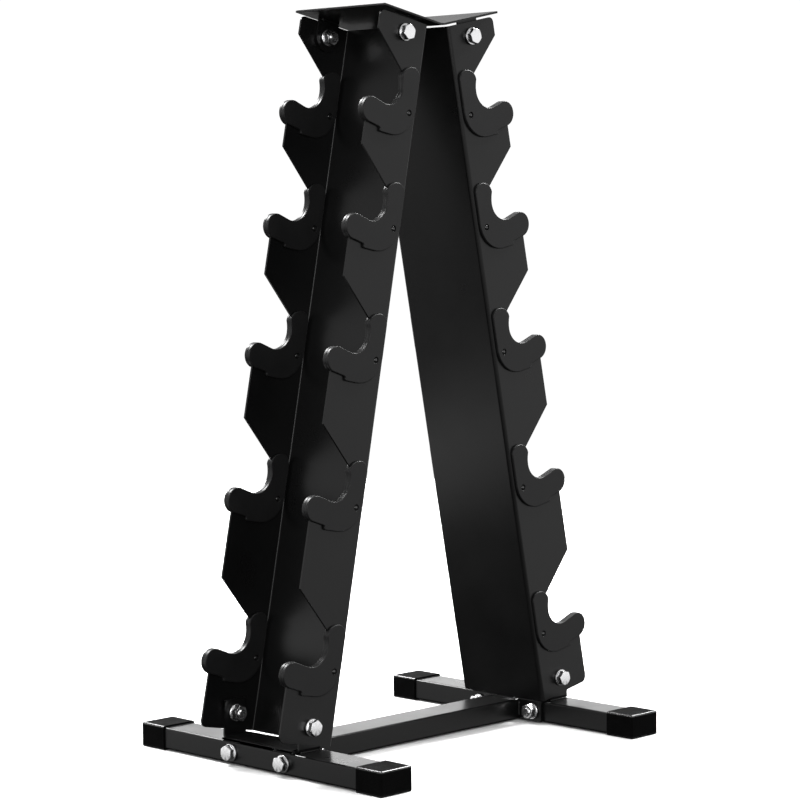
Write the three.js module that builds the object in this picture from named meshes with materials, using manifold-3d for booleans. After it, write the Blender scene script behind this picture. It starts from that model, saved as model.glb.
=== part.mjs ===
// A five-tier A-frame dumbbell rack: two folded steel channels lean together over a bolted foot frame.
// Millimetres, +Z up, +X from foot to foot, -Y the front; the origin is on the floor under the middle.
import * as THREE from "three";
import { mergeVertices } from "three/addons/utils/BufferGeometryUtils.js";
import Module from "manifold-3d";

const wasm = await Module();
wasm.setup();

// Whole rack
const GAP = 0.3; // left between pieces that touch
const SHEET = 2; // folded sheet of the channels, the top plate and the foot brackets

// Foot frame: two feet along Y, joined by a spreader along X
const FOOT_SPACING = 335; // between the feet's centre lines
const FOOT_LENGTH = 320; // over the end caps
const TUBE_WIDTH = 35;
const TUBE_HEIGHT = 20;
const TUBE_WALL = 1.5;
const CAP_DEPTH = 31.5; // how far a cap reaches along its foot
const CAP_WALL = 1.2;
const CAP_END = 3; // thickness of a cap's closed end
const END_PLATE = 3; // thickness of the spreader's end plates
const SPREADER_BOLT_SPACING = 70; // the pair of bolts through a foot and its end plate
const END_PLATE_MARGIN = 11; // end plate past each bolt, along Y

// Channels: x is measured out from the face of the web, z up along the web from its bottom edge
const CHANNEL_LENGTH = 660;
const CHANNEL_WIDTH = 106; // over the two flanges
const BEND_RADIUS = 1.5; // inside the folds
const EDGE_BOTTOM = 24.1; // a flange's edge past the cradles' centres, at the bottom
const EDGE_TOP = 20.1; // and at the top
const BOTTOM_CORNER = 6; // radius of the flange's bottom corner
const TOP_CORNER = 5; // radius of its top corner
const BOLT_INSET = 29; // bolt holes, out from the web's face
const BOTTOM_BOLT_END = 15.5; // bolt holes, up from the bottom edge
const TOP_BOLT_END = 13.5; // bolt holes, down from the top edge
const CHANNEL_CLEAR = 1.62; // lowest corner of a channel above the feet
const TOP_BOLT_SPACING = 87.7; // between the two channels' top bolts, which sets their lean

// Hooks: one under each pair of dumbbell ends, wider apart towards the floor
const TIERS = 5;
const TOP_CRADLE = 64.5; // first cradle's centre, down from the top edge
const FIRST_PITCH = 106.5; // from the first cradle to the second
const PITCH_STEP = 13.8; // each next pitch is this much longer
const CRADLE_RADIUS = 18; // of the padded cradle
const CRADLE_WALL = 21.5; // steel behind the cradle, out from the web's face
const NOSE_RADIUS = 11.8; // of the padded nose
const NOSE_LIP = 3.1; // top of the nose above the bottom of the cradle
const NOSE_INSET = 3.7; // nose centre inside the flange's edge
const SLANT = THREE.MathUtils.degToRad(50); // the flange's edge above a hook, from the web
const NECK_RISE = 17.5; // above the cradle's centre, where the slant is NECK_REACH out
const NECK_REACH = 27;

// Hook pads: a moulded saddle that wraps the steel of each hook
const PAD_WALL = 2.2;
const PAD_REAR = 3.8; // the pad's rear edge, out from the web's face
const PAD_HEEL_RADIUS = 28; // its rear bottom corner
const PAD_BELOW = 26; // its bottom edge below the bottom of the cradle
const PAD_SWELL = 2.4; // how far its top end swells out past its wall
const PIN_RADIUS = 2.4; // snap pin through the flange
const PIN_DROP = 20; // pin below the cradle's centre
const PIN_REACH = 12; // pin out from the web's face

// Top plate: a shallow V over both channels, with a tab inside each flange
const PLATE_CLEAR = 2.5; // over the channels' top edges
const PLATE_OVERHANG = 6; // past each flange along Y
const PLATE_REACH = 64; // wing tip, out from the web's face
const TAB_WIDTH = 26; // tabs of the top plate and of the foot brackets

// M8 fasteners, each head and each nut with its washer
const BOLT_RADIUS = 4;
const BOLT_CLEAR = 0.5; // holes this much larger than the bolt, all round
const HEX_ACROSS = 13; // across the flats
const HEAD_HEIGHT = 5.3;
const NUT_HEIGHT = 6.5;
const WASHER_RADIUS = 8;
const WASHER_THICK = 1.6;
const BOLT_PROUD = 1.5; // bolt end past its nut

const ARC_STEPS = 3; // a curve is drawn in this many steps, an arc in twice as many
const ROUND_SIDES = 12;
const PIN_SIDES = 8;

// What follows from the sizes above
const HALF_SPACING = FOOT_SPACING / 2;
const TUBE_BOTTOM = CAP_WALL + GAP;
const TUBE_TOP = TUBE_BOTTOM + TUBE_HEIGHT;
const TUBE_MIDDLE = TUBE_BOTTOM + TUBE_HEIGHT / 2;
const END_PLATE_LENGTH = SPREADER_BOLT_SPACING + 2 * END_PLATE_MARGIN;
const BOLT_SPAN = CHANNEL_LENGTH - BOTTOM_BOLT_END - TOP_BOLT_END;
const LEAN = Math.asin((HALF_SPACING - TOP_BOLT_SPACING / 2) / BOLT_SPAN); // inwards, from upright
const BOLT_ABOVE = BOLT_INSET * Math.sin(LEAN) + BOTTOM_BOLT_END * Math.cos(LEAN);
const BOLT_HEIGHT = TUBE_TOP + CHANNEL_CLEAR + BOLT_ABOVE; // bottom bolts, over the feet's centre lines
const FLANGE_FACE = CHANNEL_WIDTH / 2;
const TAB_FACE = FLANGE_FACE - SHEET - GAP;
const STEEL_CRADLE = CRADLE_RADIUS + PAD_WALL;
const STEEL_NOSE = NOSE_RADIUS - PAD_WALL;
const CRADLE_REACH = CRADLE_WALL + STEEL_CRADLE;
const NOSE_DROP = CRADLE_RADIUS + NOSE_RADIUS - NOSE_LIP;
const FLANGE_BOTTOM = CRADLE_REACH + EDGE_BOTTOM;
const FLANGE_TOP = CRADLE_REACH + EDGE_TOP;
const PAD_DROP = CRADLE_RADIUS + PAD_BELOW;
const PLATE_LENGTH = CHANNEL_WIDTH + 2 * PLATE_OVERHANG;
const HOLE_RADIUS = BOLT_RADIUS + BOLT_CLEAR;
const FLANGE_BOLT_GRIP = 2 * SHEET + 3 * GAP;
const FOOT_BOLT_GRIP = TUBE_WIDTH + END_PLATE + 3 * GAP;

// Finishes
function finish(color, roughness, metalness) {
  return () => new THREE.MeshStandardMaterial({ color, roughness, metalness });
}

const blackSteel = finish(0x1c1c1e, 0.45, 0.3);
const blackRubber = finish(0x202021, 0.6, 0);
const blackPlastic = finish(0x121213, 0.55, 0);
const zincSteel = finish(0xc9cbce, 0.25, 1);

// Geometry to solid and back, for joins and cuts
function toSolid(geometry) {
  const bare = geometry.index ? geometry.toNonIndexed() : geometry.clone();
  bare.deleteAttribute("normal");
  bare.deleteAttribute("uv");
  const merged = mergeVertices(bare, 1e-4);
  const vertProperties = merged.attributes.position.array;
  const triVerts = new Uint32Array(merged.index.array);
  return new wasm.Manifold(new wasm.Mesh({ numProp: 3, vertProperties, triVerts }));
}

function toGeometry(solid) {
  const mesh = solid.getMesh();
  const geometry = new THREE.BufferGeometry();
  geometry.setAttribute("position", new THREE.BufferAttribute(mesh.vertProperties, 3));
  geometry.setIndex(new THREE.BufferAttribute(mesh.triVerts, 1));
  geometry.computeVertexNormals();
  return geometry;
}

// A shape drawn in (x, z) and given a thickness along y, centred on y = middle
function slab(shape, thickness, middle = 0) {
  const geometry = new THREE.ExtrudeGeometry(shape, {
    depth: thickness,
    bevelEnabled: false,
    curveSegments: ARC_STEPS,
  });
  return geometry.rotateX(Math.PI / 2).translate(0, middle + thickness / 2, 0);
}

function box(x, y, z, middleX = 0, middleY = 0, middleZ = 0) {
  return new THREE.BoxGeometry(x, y, z).translate(middleX, middleY, middleZ);
}

// A round rod along y
function rod(radius, length, x, y, z, sides = ROUND_SIDES) {
  return new THREE.CylinderGeometry(radius, radius, length, sides).translate(x, y, z);
}

function named(name, geometry, material) {
  const mesh = new THREE.Mesh(geometry, material);
  mesh.name = name;
  return mesh;
}

// Channel ------------------------------------------------------------------------------------

const cradleHeights = Array.from(
  { length: TIERS },
  (_, i) => CHANNEL_LENGTH - TOP_CRADLE - i * FIRST_PITCH - ((i * (i - 1)) / 2) * PITCH_STEP,
);

function flangeReach(z) {
  return FLANGE_BOTTOM + ((FLANGE_TOP - FLANGE_BOTTOM) * z) / CHANNEL_LENGTH;
}

function noseReach(cradleZ) {
  return flangeReach(cradleZ - NOSE_DROP) - NOSE_INSET;
}

// The straight between the cradle and the nose touches both arcs at this angle, on steel and pad alike.
function touchAngle(cradleZ) {
  const ahead = noseReach(cradleZ) - CRADLE_REACH;
  const apart = Math.hypot(ahead, NOSE_DROP);
  return Math.atan2(-NOSE_DROP, ahead) - Math.acos((CRADLE_RADIUS + NOSE_RADIUS) / apart);
}

// A flange seen from the side, grown all round by the given amount
function flangeShape(grow) {
  const shape = new THREE.Shape();
  const top = CHANNEL_LENGTH + grow;
  const topEdge = flangeReach(CHANNEL_LENGTH) + grow;
  shape.moveTo(-grow, top);
  shape.lineTo(topEdge - TOP_CORNER, top);
  shape.absarc(topEdge - TOP_CORNER, top - TOP_CORNER, TOP_CORNER, Math.PI / 2, 0, true);
  for (const cradleZ of cradleHeights) {
    const neckZ = cradleZ + NECK_RISE;
    const slantX = NECK_REACH + grow / Math.cos(SLANT);
    const edgeZ = neckZ + (flangeReach(neckZ) + grow - slantX) / Math.tan(SLANT);
    const wallX = CRADLE_WALL + grow;
    const noseRadius = STEEL_NOSE + grow;
    const underX = flangeReach(cradleZ - NOSE_DROP) + grow;
    shape.lineTo(flangeReach(edgeZ) + grow, edgeZ);
    shape.lineTo(wallX, neckZ + (wallX - slantX) / Math.tan(SLANT));
    const noseX = noseReach(cradleZ);
    const noseEnd = -Math.acos((underX - noseX) / noseRadius);
    const touch = touchAngle(cradleZ);
    shape.absarc(CRADLE_REACH, cradleZ, STEEL_CRADLE - grow, -Math.PI, touch, false);
    shape.absarc(noseX, cradleZ - NOSE_DROP, noseRadius, touch + Math.PI, noseEnd, true);
  }
  const bottomEdge = flangeReach(0) + grow;
  shape.lineTo(bottomEdge, BOTTOM_CORNER - grow);
  shape.absarc(bottomEdge - BOTTOM_CORNER, BOTTOM_CORNER - grow, BOTTOM_CORNER, 0, -Math.PI / 2, true);
  shape.lineTo(-grow, -grow);
  return shape;
}

// The channel's cross-section, drawn in (x, y) and run up the channel
function channelSection() {
  const reach = FLANGE_BOTTOM + NOSE_RADIUS;
  const outer = BEND_RADIUS + SHEET;
  const inner = FLANGE_FACE - SHEET;
  const shape = new THREE.Shape();
  shape.moveTo(reach, -FLANGE_FACE);
  shape.lineTo(reach, -inner);
  shape.lineTo(outer, -inner);
  shape.absarc(outer, BEND_RADIUS - inner, BEND_RADIUS, -Math.PI / 2, -Math.PI, true);
  shape.lineTo(SHEET, inner - BEND_RADIUS);
  shape.absarc(outer, inner - BEND_RADIUS, BEND_RADIUS, Math.PI, Math.PI / 2, true);
  shape.lineTo(reach, inner);
  shape.lineTo(reach, FLANGE_FACE);
  shape.lineTo(outer, FLANGE_FACE);
  shape.absarc(outer, FLANGE_FACE - outer, outer, Math.PI / 2, Math.PI, false);
  shape.lineTo(0, outer - FLANGE_FACE);
  shape.absarc(outer, outer - FLANGE_FACE, outer, Math.PI, (3 * Math.PI) / 2, false);
  return new THREE.ExtrudeGeometry(shape, {
    depth: CHANNEL_LENGTH + 2,
    bevelEnabled: false,
    curveSegments: ARC_STEPS - 1,
  }).translate(0, 0, -1);
}

// The pin that fixes a pad through the flange, and the hole it sits in
function snapPin(radius, length, middle, cradleZ) {
  return rod(radius, length, PIN_REACH, middle, cradleZ - PIN_DROP, PIN_SIDES);
}

function channelGeometry() {
  const across = CHANNEL_WIDTH + 10;
  let solid = toSolid(slab(flangeShape(0), across)).intersect(toSolid(channelSection()));
  for (const holeZ of [BOTTOM_BOLT_END, CHANNEL_LENGTH - TOP_BOLT_END])
    solid = solid.subtract(toSolid(rod(HOLE_RADIUS, across, BOLT_INSET, 0, holeZ)));
  for (const cradleZ of cradleHeights)
    solid = solid.subtract(toSolid(snapPin(PIN_RADIUS + GAP, across, 0, cradleZ)));
  return toGeometry(solid);
}

// Hook pad -----------------------------------------------------------------------------------

// The pad from the side: a round lobe at the top, a straight rear edge, a broad heel, a lip under the
// nose, then over the nose and round the cradle to the swollen end that meets the slanted edge.
function padShape(cradleZ) {
  const shape = new THREE.Shape();
  const lobeRadius = (CRADLE_WALL + GAP - PAD_REAR) / 2;
  const lobeX = PAD_REAR + lobeRadius;
  const lobeZ = cradleZ + NECK_RISE - lobeRadius / 2;
  const heelZ = cradleZ - PAD_DROP + PAD_HEEL_RADIUS;
  const heelX = PAD_REAR + PAD_HEEL_RADIUS;
  const bottomZ = cradleZ - PAD_DROP;
  const noseX = noseReach(cradleZ);
  const underZ = cradleZ - NOSE_DROP - NOSE_RADIUS;
  const wallX = CRADLE_WALL + PAD_WALL;
  const swellX = wallX + PAD_SWELL;
  shape.moveTo(lobeX + lobeRadius, lobeZ);
  shape.absarc(lobeX, lobeZ, lobeRadius, 0, Math.PI, false);
  shape.absarc(heelX, heelZ, PAD_HEEL_RADIUS, Math.PI, 1.5 * Math.PI, false);
  const lipX = (heelX + noseX) / 2;
  shape.bezierCurveTo(lipX, bottomZ, lipX, underZ, noseX, underZ);
  const touch = touchAngle(cradleZ);
  shape.absarc(noseX, cradleZ - NOSE_DROP, NOSE_RADIUS, -Math.PI / 2, touch + Math.PI, false);
  shape.absarc(CRADLE_REACH, cradleZ, CRADLE_RADIUS, touch, -Math.PI, true);
  const swellZ = cradleZ + NECK_RISE / 2;
  shape.quadraticCurveTo(wallX, (cradleZ + swellZ) / 2, swellX, swellZ + PAD_SWELL);
  shape.quadraticCurveTo(swellX + PAD_SWELL / 2, lobeZ + PAD_SWELL, lobeX + lobeRadius, lobeZ);
  return shape;
}

function padGeometry(cradleZ, side) {
  const thickness = SHEET + 2 * GAP;
  const middle = side * (FLANGE_FACE - SHEET / 2);
  const outside = toSolid(slab(padShape(cradleZ), thickness + 2 * PAD_WALL, middle));
  const slot = toSolid(slab(flangeShape(GAP), thickness, middle));
  const pin = toSolid(snapPin(PIN_RADIUS, thickness + PAD_WALL, middle, cradleZ));
  return toGeometry(outside.subtract(slot).add(pin));
}

// Fasteners ----------------------------------------------------------------------------------

// A bolt along +y with its head's washer face at y = 0 and the head below it
function boltGeometry(grip) {
  const length = GAP + grip + WASHER_THICK + NUT_HEIGHT + BOLT_PROUD;
  const corner = HEX_ACROSS / 2 / Math.cos(Math.PI / 6);
  const headMiddle = -WASHER_THICK - HEAD_HEIGHT / 2;
  const head = new THREE.CylinderGeometry(corner, corner, HEAD_HEIGHT, 6).translate(0, headMiddle, 0);
  const washer = rod(WASHER_RADIUS, WASHER_THICK, 0, -WASHER_THICK / 2, 0);
  const shank = rod(BOLT_RADIUS, length + WASHER_THICK, 0, (length - WASHER_THICK) / 2, 0);
  return toGeometry(toSolid(head).add(toSolid(washer)).add(toSolid(shank)));
}

// A nut on +y with its washer's face at y = 0
function nutGeometry() {
  const corner = HEX_ACROSS / 2 / Math.cos(Math.PI / 6);
  const middle = WASHER_THICK + NUT_HEIGHT / 2;
  const nut = new THREE.CylinderGeometry(corner, corner, NUT_HEIGHT, 6).translate(0, middle, 0);
  const washer = rod(WASHER_RADIUS, WASHER_THICK, 0, WASHER_THICK / 2, 0);
  const bore = rod(BOLT_RADIUS + GAP, 4 * NUT_HEIGHT, 0, 0, 0);
  return toGeometry(toSolid(nut).add(toSolid(washer)).subtract(toSolid(bore)));
}

// A bolt and its nut as one group: the head's washer bears GAP clear of the face at y = 0
function boltAndNut(name, grip) {
  const group = new THREE.Group();
  const bolt = named(`${name}_bolt`, boltGeometry(grip), zincSteel());
  const nut = named(`${name}_nut`, nutGeometry(), zincSteel());
  bolt.position.y = -GAP;
  nut.position.y = grip;
  group.add(bolt, nut);
  return group;
}

// Top plate and foot brackets ----------------------------------------------------------------

// A tab with a round end, drawn in (x, z) about its bolt hole; its root is above or below the hole
function tabGeometry(x, holeZ, rootZ, side) {
  const shape = new THREE.Shape();
  const half = TAB_WIDTH / 2;
  const down = rootZ > holeZ;
  shape.moveTo(x - half, rootZ);
  shape.lineTo(x - half, holeZ);
  shape.absarc(x, holeZ, half, Math.PI, 0, !down);
  shape.lineTo(x + half, rootZ);
  return slab(shape, SHEET, side * (TAB_FACE - SHEET / 2));
}

// Where a point of the right-hand channel's frame lies in the rack's frame
function toRack(x, z) {
  const out = x - BOLT_INSET;
  const up = z - BOTTOM_BOLT_END;
  return new THREE.Vector2(
    HALF_SPACING + out * Math.cos(LEAN) - up * Math.sin(LEAN),
    BOLT_HEIGHT + out * Math.sin(LEAN) + up * Math.cos(LEAN),
  );
}

function topPlateGeometry() {
  const under = CHANNEL_LENGTH + PLATE_CLEAR;
  const tipUnder = toRack(PLATE_REACH, under);
  const tipOver = toRack(PLATE_REACH, under + SHEET);
  const valleyUnder = tipUnder.y - tipUnder.x * Math.tan(LEAN);
  const valleyOver = tipOver.y - tipOver.x * Math.tan(LEAN);
  const shape = new THREE.Shape();
  shape.moveTo(0, valleyUnder);
  shape.lineTo(tipUnder.x, tipUnder.y);
  shape.lineTo(tipOver.x, tipOver.y);
  shape.lineTo(0, valleyOver);
  shape.lineTo(-tipOver.x, tipOver.y);
  shape.lineTo(-tipUnder.x, tipUnder.y);
  let solid = toSolid(slab(shape, PLATE_LENGTH));
  const holeZ = CHANNEL_LENGTH - TOP_BOLT_END;
  const origin = toRack(0, 0);
  for (const turn of [0, Math.PI]) {
    for (const side of [-1, 1]) {
      const tab = tabGeometry(BOLT_INSET, holeZ, under + SHEET / 2, side);
      tab.rotateY(-LEAN).translate(origin.x, 0, origin.y).rotateZ(turn);
      solid = solid.add(toSolid(tab));
    }
    const hole = rod(HOLE_RADIUS, CHANNEL_WIDTH, BOLT_INSET, 0, holeZ);
    hole.rotateY(-LEAN).translate(origin.x, 0, origin.y).rotateZ(turn);
    solid = solid.subtract(toSolid(hole));
  }
  return toGeometry(solid);
}

// A U of sheet on the foot's top face, its two tabs inside the channel's flanges
function footBracketGeometry() {
  const baseZ = TUBE_TOP + GAP;
  let solid = toSolid(box(TUBE_WIDTH, 2 * TAB_FACE, SHEET, 0, 0, baseZ + SHEET / 2));
  for (const side of [-1, 1])
    solid = solid.add(toSolid(tabGeometry(0, BOLT_HEIGHT, baseZ + SHEET / 2, side)));
  solid = solid.subtract(toSolid(rod(HOLE_RADIUS, CHANNEL_WIDTH, 0, 0, BOLT_HEIGHT)));
  return toGeometry(solid);
}

// Foot frame ---------------------------------------------------------------------------------

const FOOT_TUBE_LENGTH = FOOT_LENGTH - 2 * (CAP_END + GAP);

function tubeSolid(x, y, z, openAlong) {
  const past = 2 * TUBE_WALL;
  const bore = {
    x: openAlong === "x" ? x + past : x - past,
    y: openAlong === "y" ? y + past : y - past,
    z: z - past,
  };
  return toSolid(box(x, y, z, 0, 0, TUBE_MIDDLE)).subtract(
    toSolid(box(bore.x, bore.y, bore.z, 0, 0, TUBE_MIDDLE)),
  );
}

// Bolt holes along x, a pair at the spreader's bolt spacing
function boltHoles(length) {
  const holes = [-1, 1].map((side) =>
    rod(HOLE_RADIUS, length, 0, 0, 0)
      .rotateZ(Math.PI / 2)
      .translate(0, (side * SPREADER_BOLT_SPACING) / 2, TUBE_MIDDLE),
  );
  return toSolid(holes[0]).add(toSolid(holes[1]));
}

function footGeometry() {
  const tube = tubeSolid(TUBE_WIDTH, FOOT_TUBE_LENGTH, TUBE_HEIGHT, "y");
  return toGeometry(tube.subtract(boltHoles(2 * TUBE_WIDTH)));
}

function spreaderGeometry() {
  const between = FOOT_SPACING - TUBE_WIDTH - 2 * (END_PLATE + 2 * GAP);
  return toGeometry(tubeSolid(between, TUBE_WIDTH, TUBE_HEIGHT, "x"));
}

function endPlateGeometry() {
  const plate = box(END_PLATE, END_PLATE_LENGTH, TUBE_HEIGHT, 0, 0, TUBE_MIDDLE);
  return toGeometry(toSolid(plate).subtract(boltHoles(4 * END_PLATE)));
}

// A sleeve cap on the front (-Y) end of a foot
function capGeometry() {
  const width = TUBE_WIDTH + 2 * (CAP_WALL + GAP);
  const height = TUBE_HEIGHT + 2 * (CAP_WALL + GAP);
  const end = -FOOT_LENGTH / 2;
  const outside = box(width, CAP_DEPTH, height, 0, end + CAP_DEPTH / 2, height / 2);
  const pocket = box(
    TUBE_WIDTH + 2 * GAP,
    CAP_DEPTH,
    TUBE_HEIGHT + 2 * GAP,
    0,
    end + CAP_END + CAP_DEPTH / 2,
    height / 2,
  );
  return toGeometry(toSolid(outside).subtract(toSolid(pocket)));
}

// Assembly -----------------------------------------------------------------------------------

const rack = new THREE.Group();
rack.add(named("top_plate", topPlateGeometry(), blackSteel()));
rack.add(named("spreader", spreaderGeometry(), blackSteel()));

// Each half of the rack is built on the right and turned about Z for the left.
for (const [half, turn] of [
  ["right", 0],
  ["left", Math.PI],
]) {
  const halfRack = new THREE.Group();
  halfRack.rotation.z = turn;
  rack.add(halfRack);

  const footFrame = new THREE.Group();
  footFrame.position.x = HALF_SPACING;
  halfRack.add(footFrame);
  footFrame.add(named(`${half}_foot`, footGeometry(), blackSteel()));
  footFrame.add(named(`${half}_foot_bracket`, footBracketGeometry(), blackSteel()));

  const endPlate = named(`${half}_end_plate`, endPlateGeometry(), blackSteel());
  endPlate.position.x = -TUBE_WIDTH / 2 - GAP - END_PLATE / 2;
  footFrame.add(endPlate);

  const leaning = new THREE.Group();
  const channelOrigin = toRack(0, 0);
  leaning.position.set(channelOrigin.x, 0, channelOrigin.y);
  leaning.rotation.y = -LEAN;
  halfRack.add(leaning);
  leaning.add(named(`${half}_channel`, channelGeometry(), blackSteel()));

  for (const side of [-1, 1]) {
    // The left half is turned, so its -y side is the rack's back.
    const face = side * Math.cos(turn) < 0 ? "front" : "back";

    const cap = named(`${half}_${face}_cap`, capGeometry(), blackPlastic());
    cap.rotation.z = side < 0 ? 0 : Math.PI;
    footFrame.add(cap);

    cradleHeights.forEach((cradleZ, i) => {
      const pad = named(`${half}_${face}_pad_${i + 1}`, padGeometry(cradleZ, side), blackRubber());
      leaning.add(pad);
    });

    for (const [place, holeZ] of [
      ["bottom", BOTTOM_BOLT_END],
      ["top", CHANNEL_LENGTH - TOP_BOLT_END],
    ]) {
      const pair = boltAndNut(`${half}_${face}_${place}`, FLANGE_BOLT_GRIP);
      pair.position.set(BOLT_INSET, side * FLANGE_FACE, holeZ);
      pair.rotation.z = side < 0 ? 0 : Math.PI;
      leaning.add(pair);
    }

    const across = boltAndNut(`${half}_${face}_foot`, FOOT_BOLT_GRIP);
    across.position.set(TUBE_WIDTH / 2, (side * SPREADER_BOLT_SPACING) / 2, TUBE_MIDDLE);
    across.rotation.z = Math.PI / 2;
    footFrame.add(across);
  }
}

export default rack;
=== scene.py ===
import math

import bmesh
import bpy
from mathutils import Matrix, Vector


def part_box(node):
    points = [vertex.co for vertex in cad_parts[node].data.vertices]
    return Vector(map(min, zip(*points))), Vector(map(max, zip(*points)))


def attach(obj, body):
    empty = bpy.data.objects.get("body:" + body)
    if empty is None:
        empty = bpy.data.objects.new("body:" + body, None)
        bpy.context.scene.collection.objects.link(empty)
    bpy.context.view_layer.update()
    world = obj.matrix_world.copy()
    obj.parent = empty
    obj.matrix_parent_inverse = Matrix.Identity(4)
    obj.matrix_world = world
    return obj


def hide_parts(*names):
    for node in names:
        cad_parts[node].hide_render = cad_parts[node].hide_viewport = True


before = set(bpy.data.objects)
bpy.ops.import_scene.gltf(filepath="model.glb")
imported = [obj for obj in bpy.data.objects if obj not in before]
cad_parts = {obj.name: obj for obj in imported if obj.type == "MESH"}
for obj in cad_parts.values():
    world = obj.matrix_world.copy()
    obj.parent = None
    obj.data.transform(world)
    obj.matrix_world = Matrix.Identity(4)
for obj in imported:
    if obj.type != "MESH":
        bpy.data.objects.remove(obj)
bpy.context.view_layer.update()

# Feet ---------------------------------------------------------------------------------------
# Two lengths of 35 by 20 mm rectangular steel tube with rounded corners, drilled across for the
# spreader's bolts and powder-coated black. They stand on their end caps.

MM = 0.001
HALF_TURN = Matrix.Rotation(math.pi, 4, "Z")
TUBE_WALL = 1.5 * MM
TUBE_CORNER = 1.8 * MM
BOLT_HOLE = 4.5 * MM
BROKEN_EDGE = 0.25 * MM
SMOOTH_ANGLE = math.radians(38)
PAST_FOOT = 60 * MM
TOUCHING = 0.01 * MM


def node_tree(name):
    """A new material, with its node tree and its shader."""
    material = bpy.data.materials.new(name)
    material.use_nodes = True
    tree = material.node_tree
    return material, tree, tree.nodes["Principled BSDF"]


def surface_noise(tree, size, detail=2.0, roughness=0.5):
    """Noise in the piece's own space with bumps about the given size, in metres."""
    place = tree.nodes.new("ShaderNodeTexCoord")
    noise = tree.nodes.new("ShaderNodeTexNoise")
    noise.inputs["Scale"].default_value = 1 / size
    noise.inputs["Detail"].default_value = detail
    noise.inputs["Roughness"].default_value = roughness
    tree.links.new(place.outputs["Object"], noise.inputs["Vector"])
    return noise.outputs["Fac"]


def spread(tree, value, low, high, target, start=0.3, end=0.7):
    """Turns a 0 to 1 pattern into values from low to high on a socket."""
    scale = tree.nodes.new("ShaderNodeMapRange")
    scale.inputs["From Min"].default_value = start
    scale.inputs["From Max"].default_value = end
    scale.inputs["To Min"].default_value = low
    scale.inputs["To Max"].default_value = high
    tree.links.new(value, scale.inputs["Value"])
    tree.links.new(scale.outputs["Result"], target)


def tint(tree, value, dark, light, target, start=0.3, end=0.7):
    """Turns a 0 to 1 pattern into a colour between two."""
    ramp = tree.nodes.new("ShaderNodeValToRGB")
    ramp.color_ramp.elements[0].position = start
    ramp.color_ramp.elements[0].color = (*dark, 1)
    ramp.color_ramp.elements[1].position = end
    ramp.color_ramp.elements[1].color = (*light, 1)
    tree.links.new(value, ramp.inputs["Fac"])
    tree.links.new(ramp.outputs["Color"], target)


def relief(tree, shader, layers):
    """Stacks bump layers, each a pattern with its depth in metres."""
    below = None
    for value, depth in layers:
        bump = tree.nodes.new("ShaderNodeBump")
        bump.inputs["Strength"].default_value = 1.0
        bump.inputs["Distance"].default_value = depth
        tree.links.new(value, bump.inputs["Height"])
        if below:
            tree.links.new(below, bump.inputs["Normal"])
        below = bump.outputs["Normal"]
    tree.links.new(below, shader.inputs["Normal"])


def powder_coat():
    """Semi-gloss black powder coat: fine orange peel, faint handling marks in the gloss."""
    material, tree, shader = node_tree("black_powder_coat")
    shader.inputs["Specular IOR Level"].default_value = 0.28
    peel = surface_noise(tree, 1.4 * MM, detail=1.0)
    grit = surface_noise(tree, 0.35 * MM, detail=1.0)
    cloud = surface_noise(tree, 60 * MM, detail=4.0, roughness=0.6)
    tint(tree, cloud, (0.0034, 0.0034, 0.0035), (0.005, 0.005, 0.0051), shader.inputs["Base Color"])
    spread(tree, cloud, 0.27, 0.33, shader.inputs["Roughness"])
    relief(tree, shader, [(grit, 0.006 * MM), (peel, 0.035 * MM)])
    return material


black_coat = powder_coat()


def start_block(name, low, high):
    """Adds a block between two corners and opens it for editing."""
    bpy.ops.object.select_all(action="DESELECT")
    bpy.ops.mesh.primitive_cube_add(size=1, location=(low + high) / 2, scale=high - low)
    piece = bpy.context.object
    piece.name = name
    bpy.ops.object.transform_apply(location=True, rotation=True, scale=True)
    bpy.ops.object.mode_set(mode="EDIT")
    return piece


def pick(piece, kind, test):
    """Selects only the faces, edges or verts that pass the test."""
    bpy.ops.mesh.select_mode(type={"faces": "FACE", "edges": "EDGE", "verts": "VERT"}[kind])
    bpy.ops.mesh.select_all(action="DESELECT")
    mesh = bmesh.from_edit_mesh(piece.data)
    for part in getattr(mesh, kind):
        if test(part):
            part.select_set(True)
    bmesh.update_edit_mesh(piece.data)


def modify(piece, kind, **settings):
    """Adds a modifier to a piece and applies it."""
    if piece.mode == "EDIT":
        bpy.ops.object.mode_set(mode="OBJECT")
    modifier = piece.modifiers.new(kind.title(), kind)
    for key, value in settings.items():
        setattr(modifier, key, value)
    bpy.context.view_layer.objects.active = piece
    bpy.ops.object.modifier_apply(modifier=modifier.name)


def cut_away(piece, cutter, operation="DIFFERENCE"):
    """Cuts a piece with another, which is used up."""
    modify(piece, "BOOLEAN", object=cutter, operation=operation, solver="EXACT")
    bpy.data.objects.remove(cutter)


def drill(piece, centres, radius, length, along):
    """Drills round holes along one axis with a bit of the given length, centred on each place."""
    if piece.mode == "EDIT":
        bpy.ops.object.mode_set(mode="OBJECT")
    turn = {"x": (0, math.pi / 2, 0), "y": (math.pi / 2, 0, 0), "z": (0, 0, 0)}[along]
    bpy.ops.object.select_all(action="DESELECT")
    bits = []
    for centre in centres:
        bpy.ops.mesh.primitive_cylinder_add(
            vertices=40, radius=radius, depth=length, location=centre, rotation=turn
        )
        bits.append(bpy.context.object)
    for bit in bits:
        bit.select_set(True)
    if len(bits) > 1:
        bpy.ops.object.join()
    bpy.ops.object.transform_apply(location=True, rotation=True, scale=True)
    cut_away(piece, bpy.context.object)


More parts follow.
